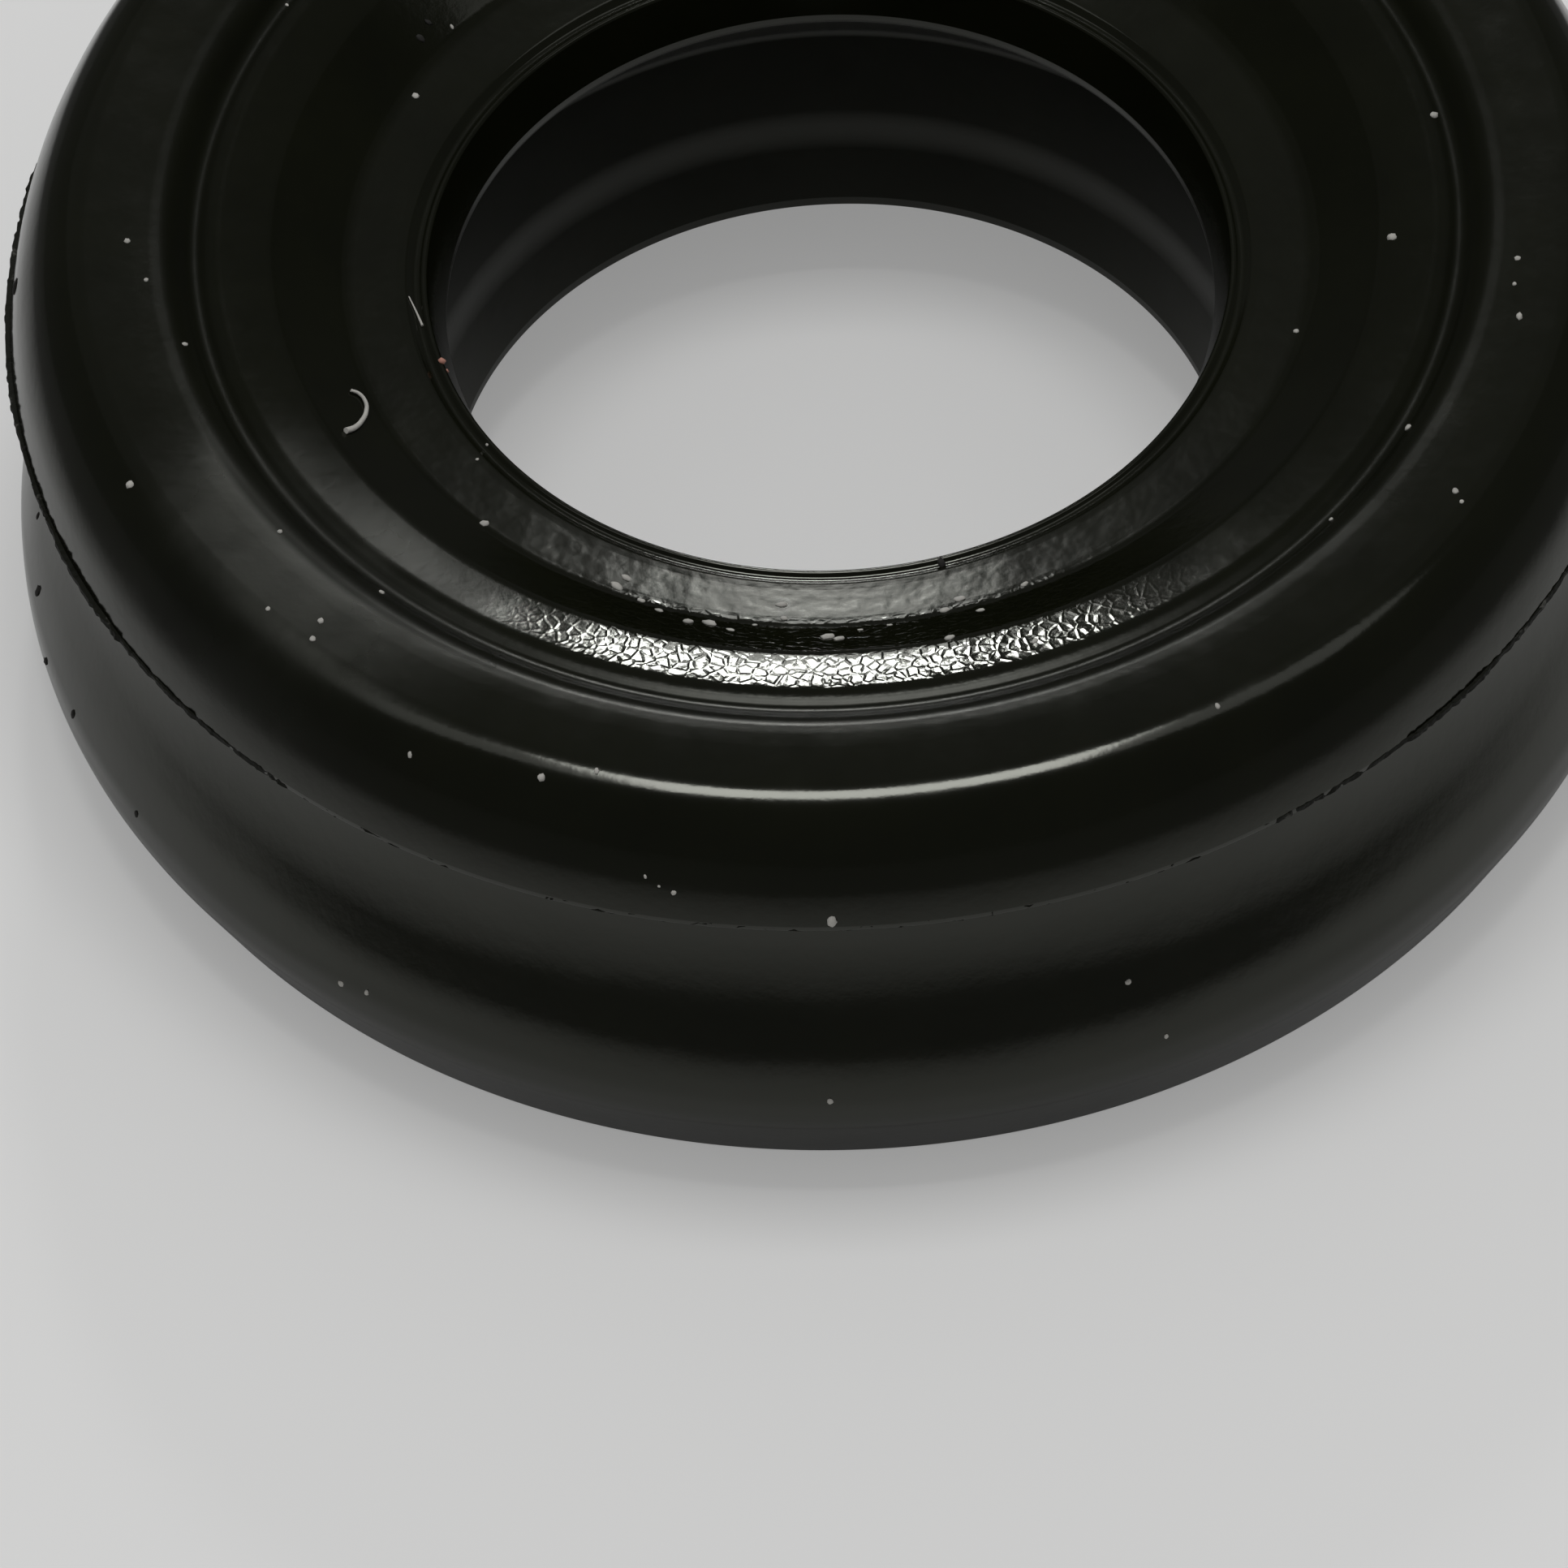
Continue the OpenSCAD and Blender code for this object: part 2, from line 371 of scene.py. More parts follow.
class Nodes:
    """A short way to add and join the nodes of one material."""

    def __init__(self, name):
        self.material = bpy.data.materials.new(name)
        self.material.use_nodes = True
        self.tree = self.material.node_tree
        self.shader = self.tree.nodes["Principled BSDF"]
        self.place = self.tree.nodes.new("ShaderNodeTexCoord").outputs["Object"]

    def add(self, kind, **values):
        """Adds a node; values set its sockets by name, or its own settings, or join another socket."""
        node = self.tree.nodes.new(kind)
        for name, value in values.items():
            key = name.replace("_", " ")
            socket = next((s for s in node.inputs if s.name.lower() == key.lower()), None)
            if socket is None:
                setattr(node, name, value)
            elif isinstance(value, bpy.types.NodeSocket):
                self.tree.links.new(value, socket)
            else:
                socket.default_value = value
        return node

    def math(self, operation, *values):
        """One arithmetic step on sockets or numbers."""
        node = self.tree.nodes.new("ShaderNodeMath")
        node.operation = operation
        for socket, value in zip(node.inputs, values):
            if isinstance(value, bpy.types.NodeSocket):
                self.tree.links.new(value, socket)
            else:
                socket.default_value = value
        return node.outputs[0]

    def ramp(self, value, start, end, low=0.0, high=1.0):
        """Goes from low to high while the value goes from start to end."""
        node = self.add(
            "ShaderNodeMapRange", Value=value, From_Min=start, From_Max=end, To_Min=low, To_Max=high
        )
        return node.outputs[0]

    def band(self, value, low, high, soft):
        """1 where the value lies between low and high, with soft ends."""
        rise = self.ramp(value, low - soft, low + soft)
        fall = self.ramp(value, high + soft, high - soft)
        return self.math("MULTIPLY", rise, fall)

    def blend(self, factor, low, high):
        """A colour that goes from low to high with the factor."""
        node = self.add("ShaderNodeMix", data_type="RGBA", Factor=factor)
        node.inputs["A"].default_value = (*low, 1.0)
        node.inputs["B"].default_value = (*high, 1.0)
        return node.outputs["Result"]

    def noise(self, place, scale, detail=2.0, roughness=0.5):
        """Even noise between 0 and 1, with its scale in turns per unit of the place."""
        node = self.add("ShaderNodeTexNoise", Scale=scale, Detail=detail, Roughness=roughness)
        self.tree.links.new(place, node.inputs["Vector"])
        return node.outputs[0]

    def bumps(self, place, scale, detail, roughness, height):
        """Even noise between 0 and a height in millimetres."""
        return self.math("MULTIPLY", self.noise(place, scale, detail, roughness), height)

    def cell_edges(self, place, scale):
        """Distance to the nearest edge between cells strewn at random."""
        node = self.add("ShaderNodeTexVoronoi", feature="DISTANCE_TO_EDGE", Scale=scale)
        self.tree.links.new(place, node.inputs["Vector"])
        return node.outputs["Distance"]

    def millimetres(self):
        """The object's own place in millimetres, and its distance from the axis."""
        scaled = self.add("ShaderNodeVectorMath", operation="SCALE", Scale=1 / MM)
        self.tree.links.new(self.place, scaled.inputs[0])
        flat = self.add("ShaderNodeVectorMath", operation="MULTIPLY")
        self.tree.links.new(scaled.outputs[0], flat.inputs[0])
        flat.inputs[1].default_value = (1.0, 1.0, 0.0)
        radius = self.add("ShaderNodeVectorMath", operation="LENGTH")
        self.tree.links.new(flat.outputs[0], radius.inputs[0])
        return scaled.outputs[0], radius.outputs["Value"]

    def relief(self, height):
        """Bumps of the given height, in millimetres."""
        bump = self.add("ShaderNodeBump", Height=height, Distance=MM)
        self.set("Normal", bump.outputs[0])

    def set(self, name, value):
        """Sets or joins a socket of the shader."""
        socket = self.shader.inputs[name]
        if isinstance(value, bpy.types.NodeSocket):
            self.tree.links.new(value, socket)
        else:
            socket.default_value = value


# Where the rubber's looks differ, by the corners of section_corners: the first corner and how far outside
# it the band starts, the last corner and how far outside it the band ends, and its softness (millimetres)
BANDS_MM = {
    "floor": (3, 0.05, 4, -0.02, 0.1),
    "terrace": (4, -0.14, 6, 0.02, 0.06),
    "groove": (6, 0.04, 8, 0.3, 0.06),
}
LIP_CORNER = 0
TOP_CORNER = 10
# Those bands lie from this far above the lip to this far above the top face, with this softness
ABOVE_MM = (0.4, 1.0, 0.1)
# The bore lies within this much of the lip's radius, from this height up to this far below the lip
BORE_MM = (1.2, -1.0, 0.12)
BORE_SOFT_MM = 0.02
# Cosines of the turn away from the front at which the terrace's crackle starts and is full
CRACKLED_FROM = (0.8, 0.93)
# Middle of a patch of skin that has worn duller, its outer and inner radius, and the roughness it adds
WORN_MM = (-8.6, -6.9, 8.0)
WORN_RADII_MM = (4.0, 0.8)
WORN_ROUGHER = 0.42
# What each part of the section adds to the rubber's roughness, and to its specular level
ROUGHER = {"floor": 0.03, "crackled": -0.05, "groove": 0.12, "bore": 0.22}
SHINIER = {"bore": -0.18, "groove": -0.3, "plain": -0.18}
SPECULAR = 0.5
# Noise in the rubber's roughness: turns per millimetre, detail and roughness of the noise; then how much
# it spreads, and how far it starts below the finish's own roughness
GLOSS_NOISE = (1.6, 4.0, 0.65)
GLOSS_SPREAD = 0.09
GLOSS_BELOW = 0.03
# Patches of tone in the rubber: turns per millimetre, detail and roughness
PATCHES = (0.55, 4.0, 0.6)
# Darkest and lightest tone of the rubber and of the specks, and the flash's tone, as shares of the colour
RUBBER_TONES = (0.55, 1.5)
SPECK_TONES = (0.6, 1.3)
FLASH_TONE = 1.6
# Relief in the rubber: turns per millimetre, detail, roughness, and height in millimetres
SKIN = (5.0, 3.0, 0.6, 0.002)
WAVES = (0.45, 1.0, 0.5, 0.02)
RIPPLES = (2.0, 2.0, 0.6, 0.010)
GRAINS = (4.5, 1.0, 0.5, 0.004)
# Cracks between cells: turns per millimetre, reach from a cell's edge in cells, and height in millimetres
CRACKS = (5.5, 0.2, 0.0015)
# Relief of the torn flash and of the specks
TORN = (12.0, 3.0, 0.5, 0.02)
UNEVEN = (30.0, 2.0, 0.5, 0.004)


def tone(rgb, level):
    """A colour made darker or lighter."""
    return tuple(min(1.0, level * part) for part in rgb)


def section_masks(nodes, section, place, radius):
    """Masks of the funnel floor, the crackled and the plain terrace, the ring groove and the bore."""
    corners = [(x / MM, z / MM) for x, z, _ in section_corners(section)]
    lip_r, lip_z = corners[LIP_CORNER]
    spot = nodes.add("ShaderNodeSeparateXYZ", Vector=place).outputs
    over_lip, over_top, soft = ABOVE_MM
    above = nodes.band(spot["Z"], lip_z + over_lip, corners[TOP_CORNER][1] + over_top, soft)
    masks = {}
    for name, (first, start, last, end, soft) in BANDS_MM.items():
        across = nodes.band(radius, corners[first][0] + start, corners[last][0] + end, soft)
        masks[name] = nodes.math("MULTIPLY", across, above)
    ahead = nodes.math("DIVIDE", nodes.math("MULTIPLY", spot["Y"], -1.0), radius)
    masks["crackled"] = nodes.math("MULTIPLY", masks["terrace"], nodes.ramp(ahead, *CRACKLED_FROM))
    masks["plain"] = nodes.math("SUBTRACT", masks["terrace"], masks["crackled"])
    outside, bottom, below = BORE_MM
    within = nodes.band(radius, 0.0, lip_r + outside, BORE_SOFT_MM)
    under = nodes.band(spot["Z"], bottom, lip_z - below, BORE_SOFT_MM)
    masks["bore"] = nodes.math("MULTIPLY", within, under)
    return masks


def rubber_material(finish, section):
    """Black moulded rubber: fine skin, wet-looking ripples on the funnel floor, a crackled terrace."""
    nodes = Nodes("moulded_rubber")
    place, radius = nodes.millimetres()
    masks = section_masks(nodes, section, place, radius)

    patches = nodes.noise(place, *PATCHES)
    tones = (tone(finish.rubber, level) for level in RUBBER_TONES)
    nodes.set("Base Color", nodes.blend(patches, *tones))

    uneven = nodes.noise(place, *GLOSS_NOISE)
    gloss = nodes.math("MULTIPLY_ADD", uneven, GLOSS_SPREAD, finish.gloss - GLOSS_BELOW)
    for name, change in ROUGHER.items():
        gloss = nodes.math("MULTIPLY_ADD", masks[name], change, gloss)
    away = nodes.add("ShaderNodeVectorMath", operation="DISTANCE")
    nodes.tree.links.new(place, away.inputs[0])
    away.inputs[1].default_value = WORN_MM
    worn = nodes.ramp(away.outputs["Value"], *WORN_RADII_MM, high=WORN_ROUGHER)
    nodes.set("Roughness", nodes.math("MULTIPLY_ADD", worn, patches, gloss))

    scale, reach, crack_h = CRACKS
    cracks = nodes.ramp(nodes.cell_edges(place, scale), 0.0, reach, high=crack_h)
    crackle = nodes.math("ADD", nodes.bumps(place, *GRAINS), cracks)
    relief = nodes.math("ADD", nodes.bumps(place, *SKIN), nodes.bumps(place, *WAVES))
    relief = nodes.math("MULTIPLY_ADD", masks["floor"], nodes.bumps(place, *RIPPLES), relief)
    relief = nodes.math("MULTIPLY_ADD", masks["crackled"], crackle, relief)
    nodes.relief(relief)

    shine = SPECULAR
    for name, change in SHINIER.items():
        shine = nodes.math("MULTIPLY_ADD", masks[name], change, shine)
    nodes.set("Specular IOR Level", shine)
    nodes.set("Specular Tint", (0.98, 1.0, 0.9, 1.0))
    nodes.set("IOR", 1.5)
    return nodes.material


def flash_material(finish):
    """Torn rubber: dull, rough, with pale dust caught in it."""
    nodes = Nodes("torn_flash")
    place, _ = nodes.millimetres()
    dusty = nodes.ramp(nodes.noise(place, 3.0, 3.0, 0.7), 0.62, 0.78, high=0.25)
    nodes.set("Base Color", nodes.blend(dusty, tone(finish.rubber, FLASH_TONE), finish.dust))
    nodes.set("Roughness", 0.75)
    nodes.set("Specular IOR Level", 0.25)
    nodes.relief(nodes.bumps(place, *TORN))
    return nodes.material


def speck_material(name, rgb):
    """Dull dust, lint or crumbs, uneven in tone."""
    nodes = Nodes(name)
    place, _ = nodes.millimetres()
    tones = (tone(rgb, level) for level in SPECK_TONES)
    nodes.set("Base Color", nodes.blend(nodes.noise(place, 4.0, 3.0), *tones))
    nodes.set("Roughness", 0.85)
    nodes.relief(nodes.bumps(place, *UNEVEN))
    return nodes.material


# --------------------------------------------------------------- operators


class SEAL_OT_ring(bpy.types.Operator):
    """Models the moulded ring: its section is drawn, rounded and spun about the axis"""

    bl_idname = "seal.ring"
    bl_label = "Rubber ring"
    bl_options = {"REGISTER", "UNDO"}

    def execute(self, context):
        section = context.scene.seal_section
        ring = draw_section("rubber_ring", section_corners(section))
        spin_section(section.spin_steps)
        weight_normals(ring)
        dress(ring, rubber_material(context.scene.rubber_finish, section))
        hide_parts("seal_ring")
        return {"FINISHED"}


# The flash before it is torn: how far its two edges lie inside the parting rim, in millimetres, its
# vertices round the ring, and its thickness as a share of the rim's
FLASH_INSIDE_MM = (0.04, 0.02)
FLASH_VERTICES = 1080
FLASH_THICKNESS = 0.9
# How far the tear moves each vertex at random, in millimetres
TEAR_MM = 0.024
# Arcs where the torn flash stands out: middle and half width in degrees, and growth in millimetres
FLASH_ARCS = (
    (181, 46, 0.034), (180, 38, 0.02), (178, 29, 0.02), (176, 12, 0.02), (204, 5, 0.025),
    (318, 18, 0.026), (322, 10, 0.018), (316, 4, 0.03), (60, 22, 0.026), (66, 10, 0.02), (118, 7, 0.03),
)
# Where dust, the pale specks that paint glints and the pink speck lie, as (across, down, radius) in pixels
# of the camera's frame
DUST_PX = (
    (157, 297, 4), (180, 345, 3), (160, 597, 5), (597, 645, 5), (667, 958, 5), (470, 730, 4),
    (1767, 142, 5), (1715, 292, 5), (1735, 527, 5), (1597, 408, 3), (1025, 1135, 6), (1390, 1210, 4),
    (1437, 1277, 3), (1023, 1357, 4), (420, 1212, 4), (452, 1223, 3), (1870, 318, 4), (1866, 350, 3),
    (1872, 390, 4), (1793, 605, 4), (1801, 618, 3), (395, 765, 4), (330, 750, 3), (228, 424, 3),
    (385, 787, 4), (600, 548, 2), (512, 118, 4), (588, 566, 2), (735, 950, 3), (505, 930, 3),
    (345, 655, 3), (1640, 640, 3), (1500, 870, 3), (795, 1080, 2), (812, 1092, 2), (830, 1100, 3),
)
# Pale specks in the dust's colour, set where the slope between the funnel floor and the terrace shows
# glints: painted highlights
PAINTED_GLINT_PX = (
    (848, 766, 4), (874, 768, 5), (900, 776, 3), (930, 770, 2), (963, 745, 4), (966, 762, 3),
    (1020, 785, 5), (1034, 787, 4), (1060, 776, 2), (1096, 770, 2), (1164, 752, 4), (1170, 786, 4),
    (1182, 738, 4), (1208, 752, 3), (1262, 720, 3), (1275, 790, 3), (760, 722, 5), (772, 712, 4),
    (790, 740, 3), (812, 752, 3),
)
PINK_PX = ((545, 445, 5), (551, 457, 3))
# Where crumbs lie, as (across, down, half width, half length) in the same pixels
CRUMB_PX = (
    (12, 352, 5, 12), (17, 560, 4, 10), (23, 632, 3, 6), (32, 728, 5, 12), (57, 815, 4, 9),
    (90, 880, 4, 8), (168, 1003, 4, 6), (1160, 694, 5, 8),
)
# Places that the fibres run through, in the same pixels
FIBRE_PX = ((431, 483), (441, 487), (449, 497), (450, 509), (445, 520), (436, 529), (425, 533))
LINT_PX = ((503, 366), (512, 384), (521, 402))
# Fibres: name, half thickness in millimetres, and the places they run through
FIBRES = (("hooked_fibre", 0.042, FIBRE_PX), ("straight_lint", 0.018, LINT_PX))
# Thickness of a fibre at its start and what it gains along its length, as shares of its half thickness
FIBRE_START = 0.55
FIBRE_GAIN = 0.6
# How high a fibre's middle lies over the ring, as a share of its half thickness
FIBRE_LIFT = 0.9
# Seed of the random places and sizes, and how much longer than wide the placed dust is
STREW_SEED = 31
DUST_STRETCH = (0.9, 1.5)
# Where dust and crumbs are strewn on the far side: turns in degrees, radii on the top and heights outside
# in millimetres, the least distance behind the axis, and the share of them that falls on the top
FAR_TURNS = (25, 155)
FAR_RADII_MM = (6.3, 12.0)
FAR_HEIGHTS_MM = (1.0, 7.5)
FAR_BEHIND_MM = 4.5
FAR_ON_TOP = 0.7
# Height and radius from which the rays start that find those places, in millimetres
RAY_HEIGHT_MM = 20
RAY_RADIUS_MM = 30
# Steps in which the spot of the ring nearest to a pixel is found, and the share of the distance to it by
# which a face may lie farther and still be looked at
NEAREST_STEPS = 12
TIE = 1e-6
# Grains: how many shapes there are, how uneven they are in millimetres, how far they turn at random in
# radians, and how high they are as a share of their smaller width
GRAIN_SHAPES = 4
GRAIN_DENT_MM = 0.14
GRAIN_TURN = 0.4
GRAIN_HEIGHTS = (0.5, 0.8)


def camera_matrix(stage, target):
    """Where the camera stands and how it is turned, looking along +Y and down at the target."""
    rise = stage.elevation
    place = target + stage.distance * Vector((0, -math.cos(rise), math.sin(rise)))
    ahead = (target - place).normalized()
    right = Vector((1, 0, 0))
    up = right.cross(ahead)
    turned_right = math.cos(stage.roll) * right + math.sin(stage.roll) * up
    turned_up = math.cos(stage.roll) * up - math.sin(stage.roll) * right
    turn = Matrix((turned_right, turned_up, -ahead)).transposed().to_4x4()
    return Matrix.Translation(place) @ turn


def pixel_ray(stage, pixel):
    """The camera's place and its way towards a pixel of its frame."""
    target = Vector((0, 0, TOP.z - bpy.context.scene.seal_section.upper_depth))
    view = camera_matrix(stage, target)
    across = (pixel[0] - AXIS_PX[0]) / PX_PER_MM * MM
    down = (pixel[1] - AXIS_PX[1]) / PX_PER_MM * MM
    way = view.to_3x3() @ Vector((across, -down, -stage.distance))
    return view.translation, way.normalized()


def ring_surface():
    """The ring's surface, for finding where small things rest on it."""
    return BVHTree.FromObject(bpy.data.objects["rubber_ring"], bpy.context.evaluated_depsgraph_get())


def nearest_place(surface, spot):
    """The ring's nearest place to a spot, and its way; of faces equally near it is always the same one."""
    reach = surface.find_nearest(spot)[3]
    hits = surface.find_nearest_range(spot, reach * (1 + TIE))
    least = min(distance for *_, distance in hits)
    ties = [(place, normal) for place, normal, _, distance in hits if distance == least]
    return min(ties, key=lambda hit: tuple(hit[1]))


def seen_place(surface, stage, pixel):
    """Where the camera sees the ring at a pixel, or its nearest spot, and which way it faces there."""
    origin, way = pixel_ray(stage, pixel)
    place, normal, _, _ = surface.ray_cast(origin, way)
    if place is None:
        place = origin + way * stage.distance
        for _ in range(NEAREST_STEPS):
            place, normal = nearest_place(surface, origin + way * (place - origin).dot(way))
    return place, normal


def random_places(surface, rng, count):
    """Places strewn over the top, the funnel and the outside of the far side."""
    places = []
    while len(places) < count:
        turn = math.radians(rng.uniform(*FAR_TURNS))
        out = Vector((math.cos(turn), math.sin(turn), 0))
        if rng.random() < FAR_ON_TOP:
            start = out * rng.uniform(*FAR_RADII_MM) * MM + Vector((0, 0, RAY_HEIGHT_MM * MM))
            way = Vector((0, 0, -1))
        else:
            start = out * RAY_RADIUS_MM * MM + Vector((0, 0, rng.uniform(*FAR_HEIGHTS_MM) * MM))
            way = -out
        place, normal, _, _ = surface.ray_cast(start, way)
        if place is not None and place.y > FAR_BEHIND_MM * MM:
            places.append((place, normal))
    return places


def seen_spots(surface, stage, pixels, wide, long):
    """Spots (place, normal, width, length) at pixels; wide and long multiply the sizes given there."""
    spots = []
    for across, down, *halves in pixels:
        place, normal = seen_place(surface, stage, (across, down))
        spots.append((place, normal, wide * halves[0] * PX, long * halves[-1] * PX))
    return spots


def random_spots(surface, rng, count, widths, stretch):
    """Spots (place, normal, width, length) at random, with their widths in pixels."""
    spots = []
    for place, normal in random_places(surface, rng, count):
        width = rng.uniform(*widths) * PX
        spots.append((place, normal, width, width * rng.uniform(1.0, stretch)))
    return spots


def model_grain(name, seed):
    """One uneven grain, a millimetre across until it is placed."""
    deselect_all()
    bpy.ops.mesh.primitive_ico_sphere_add(subdivisions=2, radius=MM / 2)
    grain = bpy.context.object
    grain.name = name
    bpy.ops.object.mode_set(mode="EDIT")
    bpy.ops.mesh.select_all(action="SELECT")
    bpy.ops.transform.vertex_random(offset=GRAIN_DENT_MM * MM, seed=seed)
    bpy.ops.object.mode_set(mode="OBJECT")
    return grain


def strew(name, spots, seed):
    """Copies grains to the spots (place, normal, width, length) and joins them into one piece."""
    rng = random.Random(seed)
    grains = [model_grain(f"{name}_{index}", seed + index) for index in range(GRAIN_SHAPES)]
    copies = []
    for place, normal, width, long in spots:
        grain = rng.choice(grains)
        copy = bpy.data.objects.new(name, grain.data.copy())
        bpy.context.collection.objects.link(copy)
        face = normal.to_track_quat("Z", "Y").to_matrix().to_4x4()
        spin = Matrix.Rotation(rng.uniform(-GRAIN_TURN, GRAIN_TURN), 4, "Z")
        high = min(width, long) * rng.uniform(*GRAIN_HEIGHTS)
        size = Matrix.Diagonal((width / MM, long / MM, high / MM, 1.0))
        copy.matrix_world = Matrix.Translation(place) @ face @ spin @ size
        copies.append(copy)
    deselect_all()
    for grain in grains:
        grain.select_set(True)
    bpy.ops.object.delete()
    for copy in copies:
        copy.select_set(True)
    bpy.context.view_layer.objects.active = copies[0]
    bpy.ops.object.join()
    piece = bpy.context.object
    piece.name = name
    place_at_origin(piece)
    bpy.ops.object.shade_smooth()
    return piece


class SEAL_OT_flash(bpy.types.Operator):
    """Models the torn skin of rubber that stands out along the parting rim"""

    bl_idname = "seal.flash"
    bl_label = "Torn flash"
    bl_options = {"REGISTER", "UNDO"}

    def execute(self, context):
        section = context.scene.seal_section
        edge = mount_radius("outside_rib") - section.rim_step
        middle = TOP.z - section.shoulder_h - section.rim_h / 2
        inner, outer = (edge - inside * MM for inside in FLASH_INSIDE_MM)
        deselect_all()
        bpy.ops.mesh.primitive_circle_add(vertices=FLASH_VERTICES, radius=inner, location=(0, 0, middle))
        flash = bpy.context.object
        flash.name = "torn_flash"
        bpy.ops.object.mode_set(mode="EDIT")
        bpy.ops.mesh.select_all(action="SELECT")
        bpy.ops.mesh.extrude_edges_move()
        bpy.ops.transform.resize(value=(outer / inner, outer / inner, 1.0))
        for middle_turn, half_turn, growth in FLASH_ARCS:
            select_arc(flash, (inner + outer) / 2, math.radians(middle_turn), math.radians(half_turn))
            grown = 1 + growth * MM / edge
            bpy.ops.transform.resize(value=(grown, grown, 1.0), center_override=(0, 0, middle))
        bpy.ops.mesh.select_all(action="SELECT")
        bpy.ops.transform.vertex_random(offset=TEAR_MM * MM, seed=5)
        bpy.ops.object.mode_set(mode="OBJECT")
        thickness = flash.modifiers.new("Thickness", "SOLIDIFY")
        thickness.thickness = section.rim_h * FLASH_THICKNESS
        thickness.offset = 0.0
        bpy.ops.object.modifier_apply(modifier=thickness.name)
        place_at_origin(flash)
        dress(flash, flash_material(context.scene.rubber_finish))
        return {"FINISHED"}


class SEAL_OT_dust(bpy.types.Operator):
    """Strews pale dust, pale specks that stand for glints (painted highlights), black crumbs and a pink
    speck over the ring
    """

    bl_idname = "seal.dust"
    bl_label = "Dust and crumbs"
    bl_options = {"REGISTER", "UNDO"}

    def execute(self, context):
        stage, finish = context.scene.seal_stage, context.scene.rubber_finish
        surface = ring_surface()
        rng = random.Random(STREW_SEED)
        dust = [
            (place, normal, width, long * rng.uniform(*DUST_STRETCH))
            for place, normal, width, long in seen_spots(surface, stage, DUST_PX, wide=2, long=2)
        ]
        dust += random_spots(surface, rng, count=60, widths=(1.5, 4.5), stretch=2.0)
        # Pale specks that paint glints on the slope: painted highlights
        glint_spots = seen_spots(surface, stage, PAINTED_GLINT_PX, wide=3.6, long=2.2)
        crumbs = seen_spots(surface, stage, CRUMB_PX, wide=2, long=2)
        crumbs += random_spots(surface, rng, count=12, widths=(4, 8), stretch=1.8)
        pink = seen_spots(surface, stage, PINK_PX, wide=2, long=2.6)
        dress(strew("pale_dust", dust, seed=11), speck_material("pale_dust", finish.dust))
        # The glint specks take the dust's colour: painted highlights
        dress(strew("painted_glints", glint_spots, seed=17), speck_material("painted_glints", finish.dust))
        dress(strew("black_crumbs", crumbs, seed=23), speck_material("black_crumb", finish.crumb))
        dress(strew("pink_speck", pink, seed=37), speck_material("pink_speck", finish.pink))
        return {"FINISHED"}


class SEAL_OT_fibres(bpy.types.Operator):
    """Lays a hooked fibre and a straight bit of lint on the funnel"""

    bl_idname = "seal.fibres"
    bl_label = "Fibres"
    bl_options = {"REGISTER", "UNDO"}

    def execute(self, context):
        stage, finish = context.scene.seal_stage, context.scene.rubber_finish
        surface = ring_surface()
        lint = speck_material("lint", finish.dust)
        for name, half, pixels in FIBRES:
            radius = half * MM
            places = [seen_place(surface, stage, pixel) for pixel in pixels]
            deselect_all()
            bpy.ops.curve.primitive_nurbs_path_add()
            fibre = bpy.context.object
            fibre.name = name
            fibre.data.splines.clear()
            spline = fibre.data.splines.new("BEZIER")
            spline.bezier_points.add(len(places) - 1)
            for index, (point, (place, normal)) in enumerate(zip(spline.bezier_points, places)):
                point.co = place + radius * FIBRE_LIFT * normal
                point.handle_left_type = point.handle_right_type = "AUTO"
                point.radius = FIBRE_START + FIBRE_GAIN * index / (len(places) - 1)
            fibre.data.dimensions = "3D"
            fibre.data.resolution_u = 5
            fibre.data.bevel_resolution = 2
            fibre.data.bevel_depth = radius
            fibre.data.use_fill_caps = True
            bpy.ops.object.convert(target="MESH")
            place_at_origin(bpy.context.object)
            bpy.ops.object.shade_smooth()
            dress(bpy.context.object, lint)
        return {"FINISHED"}


# --------------------------------------------------------------------- stage


# Lights: name, azimuth and elevation in degrees, distance and size in metres, and power in watts
LIGHTS = (
    ("window_top", 179, 34.4, 0.45, (0.035, 0.045), 0.19),
    ("window_foot", 179, 27.4, 0.45, (0.062, 0.058), 0.041),
    ("overhead", 180, 86, 0.45, (0.19, 0.12), 0.66),
    ("overhead_wide", 180, 86, 0.46, (0.64, 0.12), 0.17),
    ("back_wall", 186, 52, 0.46, (0.5, 0.42), 0.024),
)
# As the rubber mirrors it, the floor goes to this dark tone between these distances from the axis, in
# metres, and a little of it is dark everywhere
DARK_FLOOR = (0.12, 0.12, 0.12)
DARK_FROM = (0.019, 0.029)
DARK_LEAST = 0.14
# Brightness of the floor's even part, as a share of the floor's colour
BACKDROP_TONE = 0.78


def add_camera(stage):
    """The camera: a long lens, with the ring's axis a little above and right of the middle."""
    lip_z = TOP.z - bpy.context.scene.seal_section.upper_depth
    bpy.ops.object.camera_add()
    camera = bpy.context.object
    camera.matrix_world = camera_matrix(stage, Vector((0, 0, lip_z)))
    lens = camera.data
    lens.sensor_width = 36.0
    lens.lens = lens.sensor_width * stage.distance / MM * PX_PER_MM / FRAME_PX
    lens.shift_x = (FRAME_PX / 2 - AXIS_PX[0]) / FRAME_PX
    lens.shift_y = (AXIS_PX[1] - FRAME_PX / 2) / FRAME_PX
    lens.clip_start = 0.01
    lens.clip_end = 10.0
    bpy.context.scene.camera = camera


